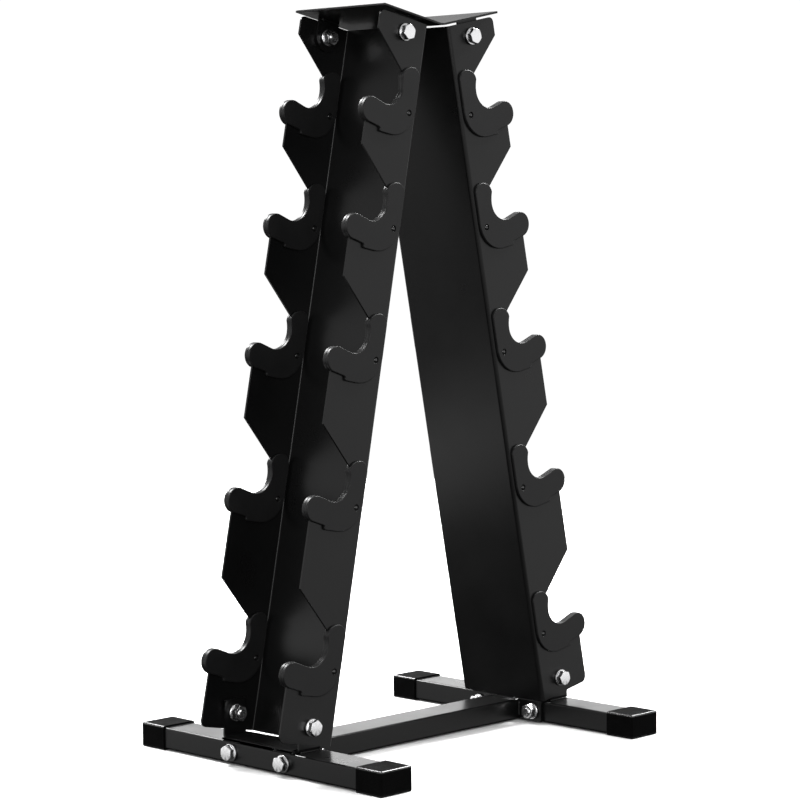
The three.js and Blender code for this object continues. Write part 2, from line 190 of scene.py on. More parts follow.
def soften(piece, width, segments=2, sharp=40):
    """Breaks the sharp edges and shades the piece so that its flats stay flat."""
    modify(
        piece,
        "BEVEL",
        width=width,
        segments=segments,
        limit_method="ANGLE",
        angle_limit=math.radians(sharp),
    )
    bpy.ops.object.select_all(action="DESELECT")
    piece.select_set(True)
    bpy.ops.object.shade_smooth_by_angle(angle=SMOOTH_ANGLE)
    modify(piece, "WEIGHTED_NORMAL", weight=80, keep_sharp=True)


def fit(piece, material, slot, *nodes):
    """Gives a finished piece its material and its place in the rack."""
    piece.data.name = piece.name
    if not any(piece.data.materials):
        piece.data.materials.append(material)
    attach(piece, "root")
    if nodes:
        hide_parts(*nodes)


def copy_of(piece, name, move):
    """A copy of a finished piece with a mesh of its own, moved by a matrix."""
    twin = bpy.data.objects.new(name, piece.data.copy())
    twin.data.transform(move)
    bpy.context.scene.collection.objects.link(twin)
    return twin


def make_tube(name, low, high, along):
    """A rounded rectangular tube, open at both ends."""
    piece = start_block(name, low, high)
    axis = "xyz".index(along)
    pick(piece, "faces", lambda face: abs(face.normal[axis]) > 0.9)
    bpy.ops.mesh.delete(type="ONLY_FACE")
    pick(
        piece,
        "edges",
        lambda edge: abs((edge.verts[0].co - edge.verts[1].co)[axis]) > TOUCHING,
    )
    bpy.ops.mesh.bevel(offset=TUBE_CORNER, segments=5, affect="EDGES")
    modify(piece, "SOLIDIFY", thickness=TUBE_WALL, offset=-1, use_even_offset=True)
    return piece


foot_low, foot_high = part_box("right_foot")
foot_middle = (foot_low + foot_high) / 2
foot_bolts = [
    sum(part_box(f"right_{face}_foot_bolt"), Vector()) / 2 for face in ("front", "back")
]
foot = make_tube("right_foot_tube", foot_low, foot_high, "y")
drill(foot, [(foot_middle.x, bolt.y, foot_middle.z) for bolt in foot_bolts], BOLT_HOLE, PAST_FOOT, "x")
soften(foot, BROKEN_EDGE)
other_foot = copy_of(foot, "left_foot_tube", HALF_TURN)
fit(foot, black_coat, "black_steel", "right_foot")
fit(other_foot, black_coat, "black_steel", "left_foot")

# End caps -----------------------------------------------------------------------------------
# Black moulded plastic sleeves with a fine-grained skin, pushed over the feet's open ends. Their
# rounded edges stand a little proud of the tube all round, and the rack rests on them.

CAP_WALL = 1.2 * MM
CAP_END = 3 * MM
CAP_EDGE = 1.7 * MM
CAP_MOUTH_EDGE = 0.3 * MM


def grained_plastic():
    """Matt moulded plastic with a leathery grain."""
    material, tree, shader = node_tree("grained_black_plastic")
    shader.inputs["Specular IOR Level"].default_value = 0.04
    grain = surface_noise(tree, 0.9 * MM, detail=3.0, roughness=0.6)
    cloud = surface_noise(tree, 14 * MM, detail=2.0)
    tint(tree, grain, (0.0012, 0.0012, 0.0012), (0.0022, 0.0022, 0.0023), shader.inputs["Base Color"])
    spread(tree, cloud, 0.7, 0.85, shader.inputs["Roughness"])
    relief(tree, shader, [(grain, 0.3 * MM)])
    return material


def smooth_plastic_painted_highlight():
    """A smoother, shinier copy of the cap plastic, lighter in colour: the lighter colour is a painted
    highlight along the rounded edges.
    """
    material, tree, shader = node_tree("smooth_black_plastic_painted_highlight")
    shader.inputs["Specular IOR Level"].default_value = 0.6
    cloud = surface_noise(tree, 9 * MM, detail=2.0)
    tint(tree, cloud, (0.008, 0.008, 0.008), (0.012, 0.012, 0.012), shader.inputs["Base Color"])
    spread(tree, cloud, 0.24, 0.3, shader.inputs["Roughness"])
    return material


cap_plastic = grained_plastic()
cap_edge_highlight = smooth_plastic_painted_highlight()
cap_low, cap_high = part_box("right_front_cap")
cap = start_block("right_front_end_cap", cap_low, cap_high)
pick(cap, "faces", lambda face: face.normal.y > 0.9)
bpy.ops.mesh.inset(thickness=CAP_WALL)
bpy.ops.mesh.extrude_region_move(
    TRANSFORM_OT_translate={"value": (0, CAP_END - (cap_high.y - cap_low.y), 0)}
)


def on_cap_outside(vertex):
    """Whether a point of the cap lies on its outer block, away from the mouth."""
    sideways = min(abs(vertex.co.x - cap_low.x), abs(vertex.co.x - cap_high.x))
    upright = min(abs(vertex.co.z - cap_low.z), abs(vertex.co.z - cap_high.z))
    return sideways < TOUCHING and upright < TOUCHING


def is_cap_edge(edge):
    """Whether an edge is one of the block's own, not one round the mouth."""
    at_mouth = all(vertex.co.y > cap_high.y - TOUCHING for vertex in edge.verts)
    return all(on_cap_outside(vertex) for vertex in edge.verts) and not at_mouth


pick(cap, "edges", is_cap_edge)
# The rounds on the top and bottom edges take the lighter, shinier edge plastic as a painted highlight;
# the rounds of the upright edges go back to the grained plastic below.
cap.data.materials.append(cap_plastic)
cap.data.materials.append(cap_edge_highlight)
bpy.ops.mesh.bevel(offset=CAP_EDGE, segments=5, affect="EDGES", material=1)
pick(cap, "faces", lambda face: abs(face.normal.z) < 0.1)
cap.active_material_index = 0
bpy.ops.object.material_slot_assign()
soften(cap, CAP_MOUTH_EDGE)
for half, face, move in (
    ("right", "back", Matrix.Translation((2 * foot_middle.x, 0, 0)) @ HALF_TURN),
    ("left", "front", Matrix.Translation((-2 * foot_middle.x, 0, 0))),
    ("left", "back", HALF_TURN),
):
    twin = copy_of(cap, f"{half}_{face}_end_cap", move)
    fit(twin, cap_plastic, "cap_plastic", f"{half}_{face}_cap")
fit(cap, cap_plastic, "cap_plastic", "right_front_cap")

# Spreader -----------------------------------------------------------------------------------
# A length of the same tube between the feet, with a 3 mm flat plate welded over each end. Two
# long bolts through each foot hold its plate.

PLATE_CORNER = 1.5 * MM
PLATE_EDGE = 0.3 * MM
PAST_PLATE = 12 * MM
BEAD_RADIUS = 1.6 * MM
TOP_BEAD_RADIUS = 1.2 * MM
TOP_BEAD_REACH = 12 * MM
SIDE_BEAD_INSET = 2.5 * MM
BEAD_STEP = 1.1 * MM
BEAD_PROUD = 0.3 * MM
BEAD_START = 0.45
BEAD_SWELL = 2.1
BEAD_RIPPLE = 1.12
BEAD_TAIL = 0.5


def weld_bead(name, start, end, radius=BEAD_RADIUS):
    """A rippled fillet of weld metal along a straight joint."""
    run = end - start
    steps = max(3, round(run.length / BEAD_STEP))
    bpy.ops.object.select_all(action="DESELECT")
    bpy.ops.mesh.primitive_circle_add(vertices=10, radius=radius, fill_type="NGON")
    piece = bpy.context.object
    piece.name = name
    bpy.ops.object.mode_set(mode="EDIT")
    bpy.ops.mesh.select_all(action="SELECT")
    bpy.ops.transform.resize(value=(BEAD_START, BEAD_START, BEAD_START))
    ripples = [(BEAD_RIPPLE, 1 / BEAD_RIPPLE)[i % 2] for i in range(1, steps - 1)]
    for swell in [BEAD_SWELL, *ripples, BEAD_TAIL]:
        bpy.ops.mesh.extrude_region_move(TRANSFORM_OT_translate={"value": (0, 0, run.length / steps)})
        bpy.ops.transform.resize(value=(swell, swell, 1))
    bpy.ops.object.mode_set(mode="OBJECT")
    piece.data.transform(run.to_track_quat("Z", "Y").to_matrix().to_4x4())
    piece.data.transform(Matrix.Translation(start))
    bpy.ops.object.select_all(action="DESELECT")
    piece.select_set(True)
    bpy.ops.object.shade_smooth()
    return piece


def join_pieces(name, pieces):
    """Joins finished pieces into one."""
    bpy.ops.object.select_all(action="DESELECT")
    for piece in pieces:
        piece.select_set(True)
    bpy.context.view_layer.objects.active = pieces[0]
    bpy.ops.object.join()
    pieces[0].name = name
    return pieces[0]


spreader_low, spreader_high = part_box("spreader")
spreader = make_tube("spreader_tube", spreader_low, spreader_high, "x")
soften(spreader, BROKEN_EDGE)
beads = []
for end_x in (spreader_low.x, spreader_high.x):
    top_start = Vector((end_x, -TOP_BEAD_REACH, spreader_high.z - BEAD_PROUD))
    top_end = Vector((end_x, TOP_BEAD_REACH, spreader_high.z - BEAD_PROUD))
    beads.append(weld_bead("bead", top_start, top_end, TOP_BEAD_RADIUS))
    for side in (-1, 1):
        side_y = side * (spreader_high.y + BEAD_PROUD)
        side_start = Vector((end_x, side_y, spreader_low.z + SIDE_BEAD_INSET))
        side_end = Vector((end_x, side_y, spreader_high.z - SIDE_BEAD_INSET))
        beads.append(weld_bead("bead", side_start, side_end))
spreader_welds = join_pieces("spreader_welds", beads)
fit(spreader_welds, black_coat, "black_steel")
fit(spreader, black_coat, "black_steel", "spreader")

plate_low, plate_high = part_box("right_end_plate")
end_plate = start_block("right_spreader_plate", plate_low, plate_high)
pick(
    end_plate,
    "edges",
    lambda edge: abs((edge.verts[0].co - edge.verts[1].co).x) > TOUCHING,
)
bpy.ops.mesh.bevel(offset=PLATE_CORNER, segments=4, affect="EDGES")
plate_x = (plate_low.x + plate_high.x) / 2
drill(end_plate, [(plate_x, bolt.y, foot_middle.z) for bolt in foot_bolts], BOLT_HOLE, PAST_PLATE, "x")
soften(end_plate, PLATE_EDGE)
other_plate = copy_of(end_plate, "left_spreader_plate", HALF_TURN)
fit(end_plate, black_coat, "black_steel", "right_end_plate")
fit(other_plate, black_coat, "black_steel", "left_end_plate")

# Foot brackets ------------------------------------------------------------------------------
# A strip of 2 mm sheet lies along the top of each foot, folded up at both ends into a round-topped
# tab inside each flange of the channel. Short beads of weld at the folds hold it to the foot.

SHEET = 2 * MM
FOLD = 3.5 * MM
TAB_WIDTH = 26 * MM
TAB_HALF = TAB_WIDTH / 2
TAB_ROUNDING = 0.9995 * TAB_HALF
FOLD_STEPS = 6
DOUBLES = 0.02 * MM
PAST_BRACKET = 120 * MM
FOLD_BEAD_RADIUS = 1.7 * MM
FOLD_BEAD_INSET = 2 * MM
FOLD_BEAD_SUNK = 0.9 * MM
SEAM_BEAD_RADIUS = 1.3 * MM
SEAM_BEAD_SUNK = 1.2 * MM
BEAD_LIFT = 0.5 * MM
SEAM_OUTER = 44 * MM
SEAM_INNER = 26 * MM


def round_tab_end(piece, is_end):
    """Rounds the free end of a sheet tab to a half circle."""
    pick(piece, "verts", is_end)
    bpy.ops.mesh.bevel(offset=TAB_ROUNDING, segments=14, affect="VERTICES")
    bpy.ops.mesh.select_all(action="SELECT")
    bpy.ops.mesh.remove_doubles(threshold=DOUBLES)


bracket_low, bracket_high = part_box("right_foot_bracket")
bracket_base = start_block(
    "right_bracket",
    Vector((foot_middle.x - TAB_HALF, bracket_low.y + FOLD, bracket_low.z)),
    Vector((foot_middle.x + TAB_HALF, 0, bracket_low.z + SHEET)),
)
pick(bracket_base, "faces", lambda face: face.normal.z > -0.9)
bpy.ops.mesh.delete(type="ONLY_FACE")
side_reach = (bracket_high.x - bracket_low.x) / 2 - TAB_HALF
for side in (-1, 1):
    pick(
        bracket_base,
        "edges",
        lambda edge: all(
            abs(vertex.co.x - foot_middle.x - side * TAB_HALF) < TOUCHING for vertex in edge.verts
        ),
    )
    bpy.ops.mesh.extrude_region_move(TRANSFORM_OT_translate={"value": (side * side_reach, 0, 0)})


def is_fold_line(edge):
    """The edge of the base that the tab folds up from."""
    return all(
        abs(vertex.co.y - bracket_low.y - FOLD) < TOUCHING
        and abs(vertex.co.x - foot_middle.x) < TAB_HALF + TOUCHING
        for vertex in edge.verts
    )


pick(bracket_base, "edges", is_fold_line)
bpy.ops.mesh.spin(
    steps=FOLD_STEPS,
    angle=math.pi / 2,
    center=(0, bracket_low.y + FOLD, bracket_low.z + FOLD),
    axis=(1, 0, 0),
)
bpy.ops.mesh.extrude_region_move(
    TRANSFORM_OT_translate={"value": (0, 0, bracket_high.z - bracket_low.z - FOLD)}
)
round_tab_end(bracket_base, lambda vertex: vertex.co.z > bracket_high.z - TOUCHING)
bpy.ops.mesh.select_all(action="SELECT")
bpy.ops.mesh.normals_make_consistent(inside=False)
modify(bracket_base, "MIRROR", use_axis=(False, True, False), merge_threshold=TOUCHING)
modify(bracket_base, "SOLIDIFY", thickness=SHEET, offset=-1, use_even_offset=True)
bottom_bolt = sum(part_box("right_front_bottom_bolt"), Vector()) / 2
drill(bracket_base, [(bottom_bolt.x, 0, bottom_bolt.z)], BOLT_HOLE, PAST_BRACKET, "y")
soften(bracket_base, BROKEN_EDGE)
bead_z = foot_high.z + BEAD_LIFT
bead_reach = TAB_HALF - FOLD_BEAD_INSET
beads = []
for end in (-1, 1):
    fold_y = end * (bracket_high.y - FOLD_BEAD_SUNK)
    fold_start = Vector((foot_middle.x - bead_reach, fold_y, bead_z))
    fold_end = Vector((foot_middle.x + bead_reach, fold_y, bead_z))
    beads.append(weld_bead("bead", fold_start, fold_end, FOLD_BEAD_RADIUS))
    for side in (-1, 1):
        side_x = foot_middle.x + side * (foot_high.x - foot_middle.x - SEAM_BEAD_SUNK)
        seam_start = Vector((side_x, end * SEAM_OUTER, bead_z))
        seam_end = Vector((side_x, end * SEAM_INNER, bead_z))
        beads.append(weld_bead("bead", seam_start, seam_end, SEAM_BEAD_RADIUS))
bracket_welds = join_pieces("right_bracket_welds", beads)
other_welds = copy_of(bracket_welds, "left_bracket_welds", HALF_TURN)
fit(bracket_welds, black_coat, "black_steel")
fit(other_welds, black_coat, "black_steel")
other_bracket = copy_of(bracket_base, "left_bracket", HALF_TURN)
fit(bracket_base, black_coat, "black_steel", "right_foot_bracket")
fit(other_bracket, black_coat, "black_steel", "left_foot_bracket")

# Channels -----------------------------------------------------------------------------------
# Each upright is one 2 mm sheet folded into a deep channel, its two flanges laser-cut into five
# hooks. It leans in on the bolts through the foot bracket and the top plate, and is powder-coated.

BOLT_INSET = 29 * MM
BOTTOM_BOLT_END = 15.5 * MM
TOP_BOLT_END = 13.5 * MM
CHANNEL_LENGTH = 660 * MM
CHANNEL_WIDTH = 106 * MM
FLANGE_FACE = CHANNEL_WIDTH / 2
FLANGE_BOTTOM = 65.8 * MM
FLANGE_TOP = 61.8 * MM
BOTTOM_CORNER = 6.1 * MM
TOP_CORNER = 5 * MM
CRADLE_RADIUS = 18 * MM
CRADLE_WALL = 21.5 * MM
NOSE_RADIUS = 11.8 * MM
NOSE_LIP = 3.1 * MM
NOSE_INSET = 3.7 * MM
SLANT = math.radians(50)
NECK_RISE = 17.5 * MM
NECK_REACH = 27 * MM
PAD_WALL = 2.2 * MM
PAD_DROP = 44 * MM
PIN_DROP = 20 * MM
PIN_REACH = 12 * MM
PIN_HOLE = 2.7 * MM
ARC_STEP = math.radians(6)
CHANNEL_EDGE = 0.35 * MM

STEEL_CRADLE = CRADLE_RADIUS + PAD_WALL
STEEL_NOSE = NOSE_RADIUS - PAD_WALL
CRADLE_REACH = CRADLE_WALL + STEEL_CRADLE
NOSE_DROP = CRADLE_RADIUS + NOSE_RADIUS - NOSE_LIP

# The right channel's own frame: x out from the web, z up along it from the bottom edge
top_bolt = sum(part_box("right_front_top_bolt"), Vector()) / 2
lean = math.atan2(bottom_bolt.x - top_bolt.x, top_bolt.z - bottom_bolt.z)
channel_frame = (
    Matrix.Translation((bottom_bolt.x, 0, bottom_bolt.z))
    @ Matrix.Rotation(-lean, 4, "Y")
    @ Matrix.Translation((-BOLT_INSET, 0, -BOTTOM_BOLT_END))
)


def lowest_in_channel(node):
    """The lowest point of a CAD node, measured along the channel."""
    to_channel = channel_frame.inverted()
    return min((to_channel @ vertex.co).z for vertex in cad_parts[node].data.vertices)


cradle_heights = [lowest_in_channel(f"right_front_pad_{tier}") + PAD_DROP for tier in range(1, 6)]


def flange_reach(z):
    """How far a flange reaches out from the web at a height."""
    return FLANGE_BOTTOM + (FLANGE_TOP - FLANGE_BOTTOM) * z / CHANNEL_LENGTH


def nose_centre(cradle_z):
    """The centre of a hook's round nose."""
    nose_z = cradle_z - NOSE_DROP
    return Vector((flange_reach(nose_z) - NOSE_INSET, 0, nose_z))


def touch_angle(cradle_z):
    """Where the straight between cradle and nose touches both arcs."""
    ahead = nose_centre(cradle_z).x - CRADLE_REACH
    apart = math.hypot(ahead, NOSE_DROP)
    return math.atan2(-NOSE_DROP, ahead) - math.acos((CRADLE_RADIUS + NOSE_RADIUS) / apart)


def start_outline(name, x, y, z):
    """Opens a new piece as one selected point, to be drawn on from there."""
    bpy.ops.object.select_all(action="DESELECT")
    bpy.ops.mesh.primitive_plane_add(size=MM)
    piece = bpy.context.object
    piece.name = name
    bpy.ops.object.mode_set(mode="EDIT")
    bpy.ops.mesh.select_mode(type="VERT")
    bpy.ops.mesh.select_all(action="SELECT")
    bpy.ops.mesh.merge(type="CENTER")
    bpy.ops.transform.translate(value=(x, y, z))
    return piece


def drawn_to(piece):
    """The point that the outline has reached."""
    mesh = bmesh.from_edit_mesh(piece.data)
    return next(vertex.co.copy() for vertex in mesh.verts if vertex.select)


def line_to(piece, x, z):
    """Draws a straight line in the side view."""
    here = drawn_to(piece)
    bpy.ops.mesh.extrude_region_move(TRANSFORM_OT_translate={"value": (x - here.x, 0, z - here.z)})


def arc_by(x, z, angle):
    """Draws an arc about a centre in the side view, counterclockwise when the angle is positive."""
    steps = max(2, round(abs(angle) / ARC_STEP))
    bpy.ops.mesh.spin(steps=steps, angle=angle, center=(x, 0, z), axis=(0, 1, 0))


def close_outline():
    """Joins the outline's ends and fills it."""
    bpy.ops.mesh.select_all(action="SELECT")
    bpy.ops.mesh.remove_doubles(threshold=TOUCHING)
    bpy.ops.mesh.edge_face_add()


def draw_hook(piece, cradle_z, grow):
    """The neck, cradle and nose of one hook, drawn downwards; grow widens the steel all round."""
    neck_z = cradle_z + NECK_RISE
    slant_x = NECK_REACH + grow / math.cos(SLANT)
    edge_z = neck_z + (flange_reach(neck_z) + grow - slant_x) / math.tan(SLANT)
    wall_x = CRADLE_WALL + grow
    nose = nose_centre(cradle_z)
    nose_radius = STEEL_NOSE + grow
    touch = touch_angle(cradle_z)
    nose_start = touch + math.pi
    nose_end = -math.acos((flange_reach(nose.z) + grow - nose.x) / nose_radius)
    line_to(piece, flange_reach(edge_z) + grow, edge_z)
    line_to(piece, wall_x, neck_z + (wall_x - slant_x) / math.tan(SLANT))
    line_to(piece, wall_x, cradle_z)
    arc_by(CRADLE_REACH, cradle_z, touch + math.pi)
    line_to(
        piece,
        nose.x + nose_radius * math.cos(nose_start),
        nose.z + nose_radius * math.sin(nose_start),
    )
    arc_by(nose.x, nose.z, nose_end - nose_start)


channel = start_outline("right_upright", FOLD, -FLANGE_FACE, CHANNEL_LENGTH)
line_to(channel, FLANGE_TOP - TOP_CORNER, CHANNEL_LENGTH)
arc_by(FLANGE_TOP - TOP_CORNER, CHANNEL_LENGTH - TOP_CORNER, -math.pi / 2)
for cradle_z in cradle_heights:
    draw_hook(channel, cradle_z, 0)
line_to(channel, FLANGE_BOTTOM, BOTTOM_CORNER)
arc_by(FLANGE_BOTTOM - BOTTOM_CORNER, BOTTOM_CORNER, -math.pi / 2)
line_to(channel, FOLD, 0)
close_outline()
bpy.ops.mesh.extrude_region_move(TRANSFORM_OT_translate={"value": (0, SHEET, 0)})


def at_fold(part):
    """Whether a face or edge lies where the flange meets the fold."""
    return all(abs(vertex.co.x - FOLD) < TOUCHING for vertex in part.verts)


pick(channel, "faces", at_fold)
bpy.ops.mesh.delete(type="ONLY_FACE")
pick(channel, "edges", at_fold)
bpy.ops.mesh.spin(
    steps=FOLD_STEPS, angle=math.pi / 2, center=(FOLD, FOLD - FLANGE_FACE, 0), axis=(0, 0, 1)
)
bpy.ops.mesh.extrude_region_move(TRANSFORM_OT_translate={"value": (0, FLANGE_FACE - FOLD, 0)})
bpy.ops.mesh.select_all(action="SELECT")
bpy.ops.mesh.normals_make_consistent(inside=False)
modify(channel, "MIRROR", use_axis=(False, True, False), merge_threshold=TOUCHING)
bolt_heights = (BOTTOM_BOLT_END, CHANNEL_LENGTH - TOP_BOLT_END)
drill(channel, [(BOLT_INSET, 0, z) for z in bolt_heights], BOLT_HOLE, 2 * CHANNEL_WIDTH, "y")
drill(channel, [(PIN_REACH, 0, z - PIN_DROP) for z in cradle_heights], PIN_HOLE, 2 * CHANNEL_WIDTH, "y")
soften(channel, CHANNEL_EDGE)
channel.data.transform(channel_frame)
other_channel = copy_of(channel, "left_upright", HALF_TURN)
fit(channel, black_coat, "black_steel", "right_channel")
fit(other_channel, black_coat, "black_steel", "left_channel")

# Top plate ----------------------------------------------------------------------------------
# A shallow V of 2 mm sheet ties the two channels together over their top edges. Four round-ended
# tabs, welded under it, hang inside the flanges and take the top bolts.

VALLEY_BEND = 4 * MM
TOP_PLATE_CORNER = 1.5 * MM
TAB_GAP = 0.3 * MM
TAB_FACE = FLANGE_FACE - SHEET - TAB_GAP
PAST_TAB = 10 * MM
TAB_BEAD_RADIUS = 1.8 * MM
TAB_BEAD_REACH = 10 * MM
TAB_BEAD_PROUD = 0.2 * MM
TAB_BEAD_DROP = 0.4 * MM

top_low, top_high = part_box("top_plate")
tip_x = top_high.x - SHEET * math.sin(lean)
valley_z = top_high.z - tip_x * math.tan(lean)
top = start_block(
    "top_v_plate",
    Vector((0, top_low.y, valley_z)),
    Vector((tip_x, top_high.y, top_high.z)),
)
pick(top, "faces", lambda face: face.normal.z < 0.9)
bpy.ops.mesh.delete(type="ONLY_FACE")
pick(top, "verts", lambda vertex: not vertex.link_faces)
bpy.ops.mesh.delete(type="VERT")
pick(top, "edges", lambda edge: all(vertex.co.x < TOUCHING for vertex in edge.verts))
bpy.ops.transform.translate(value=(0, 0, valley_z - top_high.z))
modify(top, "MIRROR", use_axis=(True, False, False), merge_threshold=TOUCHING)
bpy.ops.object.mode_set(mode="EDIT")
pick(top, "edges", lambda edge: all(abs(vertex.co.x) < TOUCHING for vertex in edge.verts))
bpy.ops.mesh.bevel(offset=VALLEY_BEND, segments=6, affect="EDGES")
pick(top, "verts", lambda vertex: abs(vertex.co.x) > tip_x - TOUCHING)
bpy.ops.mesh.bevel(offset=TOP_PLATE_CORNER, segments=4, affect="VERTICES")
modify(top, "SOLIDIFY", thickness=SHEET, offset=-1, use_even_offset=True)
soften(top, PLATE_EDGE)

hole_z = CHANNEL_LENGTH - TOP_BOLT_END
plate_under = (channel_frame.inverted() @ Vector((tip_x, 0, top_high.z))).z - SHEET
tab = start_outline("top_tab", BOLT_INSET - TAB_HALF, -TAB_FACE, plate_under)
line_to(tab, BOLT_INSET - TAB_HALF, hole_z)
arc_by(BOLT_INSET, hole_z, math.pi)
line_to(tab, BOLT_INSET + TAB_HALF, plate_under)
close_outline()
bpy.ops.mesh.extrude_region_move(TRANSFORM_OT_translate={"value": (0, SHEET, 0)})
bpy.ops.mesh.select_all(action="SELECT")
bpy.ops.mesh.normals_make_consistent(inside=False)
drill(tab, [(BOLT_INSET, -TAB_FACE, hole_z)], BOLT_HOLE, PAST_TAB, "y")
soften(tab, BROKEN_EDGE)
tab.data.transform(channel_frame)
tabs = [tab]
tabs.append(copy_of(tab, "tab_copy", Matrix.Translation((0, 2 * TAB_FACE - SHEET, 0))))
tabs += [copy_of(part, "tab_copy", HALF_TURN) for part in tabs[:2]]
top = join_pieces("top_v_plate", [top, *tabs])
fit(top, black_coat, "black_steel", "top_plate")

bead_y = SHEET - TAB_FACE + TAB_BEAD_PROUD
bead_z = plate_under - TAB_BEAD_DROP
bead = weld_bead(
    "top_plate_welds",
    Vector((BOLT_INSET - TAB_BEAD_REACH, bead_y, bead_z)),
    Vector((BOLT_INSET + TAB_BEAD_REACH, bead_y, bead_z)),
    TAB_BEAD_RADIUS,
)
bead.data.transform(channel_frame)
beads = [bead, copy_of(bead, "bead", Matrix.Scale(-1, 4, (0, 1, 0)))]
beads[1].data.flip_normals()
beads += [copy_of(part, "bead", HALF_TURN) for part in beads[:2]]
fit(join_pieces("top_plate_welds", beads), black_coat, "black_steel")

# Hook pads ----------------------------------------------------------------------------------
# A moulded saddle of black rubber wraps the steel of every hook, both faces and the rim, so that
# the handles rest on it. A pin moulded inside snaps through the flange and shows as a dimple.

PAD_GAP = 0.3 * MM
PAD_REAR = 3.8 * MM
LOBE_RADIUS = (CRADLE_WALL + PAD_GAP - PAD_REAR) / 2
NOSE_SLACK = 0.03 * MM
PAD_HEEL_RADIUS = 28 * MM
PAD_SWELL = 2.4 * MM
PAD_EDGE = 0.9 * MM
PAD_MIDDLE = -(FLANGE_FACE - SHEET / 2)
PAD_THICK = SHEET + 2 * PAD_GAP + 2 * PAD_WALL
GROOVE_HALF = 0.5 * MM
GROOVE_DEPTH = 0.4 * MM
DIMPLE_RADIUS = 3 * MM
DIMPLE_DEPTH = 1.5 * MM
PIN_RADIUS = DIMPLE_RADIUS - 0.8 * MM
PIN_DOME = 1.6 * MM
PIN_SUNK = 0.1 * MM
STEP_BACK = 11 * MM
STEP_DROP = 1.6 * MM
SWELL_POINTS = 6
HEAD_POINTS = 12
SLOT_EDGE = 0.2 * MM
PAST_PAD = 10 * MM


def moulded_rubber():
    """Satin black rubber with a fine moulded skin."""
    material, tree, shader = node_tree("black_moulded_rubber")
    shader.inputs["Specular IOR Level"].default_value = 0.22
    skin = surface_noise(tree, 0.5 * MM, detail=2.0)
    cloud = surface_noise(tree, 22 * MM, detail=3.0)
    tint(tree, cloud, (0.0088, 0.0088, 0.009), (0.0115, 0.0115, 0.0117), shader.inputs["Base Color"])
    spread(tree, cloud, 0.37, 0.45, shader.inputs["Roughness"])
    relief(tree, shader, [(skin, 0.02 * MM)])
    return material


def glossy_nylon():
    """Hard, shiny black nylon."""
    material, tree, shader = node_tree("glossy_black_nylon")
    shader.inputs["Specular IOR Level"].default_value = 0.8
    cloud = surface_noise(tree, 2 * MM, detail=2.0)
    tint(tree, cloud, (0.006, 0.006, 0.006), (0.01, 0.01, 0.01), shader.inputs["Base Color"])
    spread(tree, cloud, 0.12, 0.2, shader.inputs["Roughness"])
    return material


pad_rubber = moulded_rubber()
pin_nylon = glossy_nylon()


def draw_pad(piece, cradle_z):
    """The pad from the side, from its rear edge down round the heel and back over the nose."""
    lobe_x = PAD_REAR + LOBE_RADIUS
    lobe_z = cradle_z + NECK_RISE - LOBE_RADIUS / 2
    heel_x = PAD_REAR + PAD_HEEL_RADIUS
    heel_z = cradle_z - PAD_DROP + PAD_HEEL_RADIUS
    nose = nose_centre(cradle_z)
    nose_radius = NOSE_RADIUS - NOSE_SLACK
    under_z = nose.z - nose_radius
    step_x = nose.x - STEP_BACK
    touch = touch_angle(cradle_z)
    wall_x = CRADLE_REACH - CRADLE_RADIUS
    swell_x = wall_x + PAD_SWELL
    swell_z = cradle_z + NECK_RISE / 2 + PAD_SWELL
    line_to(piece, PAD_REAR, heel_z)
    arc_by(heel_x, heel_z, math.pi / 2)
    step_low = cradle_z - PAD_DROP
    step_high = under_z - STEP_DROP
    fillet = (step_high - step_low) / 2
    line_to(piece, step_x - 2 * fillet, step_low)
    arc_by(step_x - 2 * fillet, step_low + fillet, math.pi / 2)
    arc_by(step_x, step_low + fillet, -math.pi / 2)
    line_to(piece, nose.x, under_z)
    arc_by(nose.x, nose.z, 1.5 * math.pi + touch)
    line_to(
        piece,
        CRADLE_REACH + CRADLE_RADIUS * math.cos(touch),
        cradle_z + CRADLE_RADIUS * math.sin(touch),
    )
    arc_by(CRADLE_REACH, cradle_z, -math.pi - touch)
    lobe_top = lobe_z + LOBE_RADIUS
    for i in range(1, SWELL_POINTS + 1):
        part = i / SWELL_POINTS
        line_to(piece, wall_x + PAD_SWELL * part * part, cradle_z + (swell_z - cradle_z) * part)
    for i in range(1, HEAD_POINTS + 1):
        turn = math.pi / 2 * i / HEAD_POINTS
        line_to(
            piece,
            lobe_x + (swell_x - lobe_x) * math.cos(turn),
            swell_z + (lobe_top - swell_z) * math.sin(turn),
        )
    arc_by(lobe_x, lobe_z, math.pi / 2)


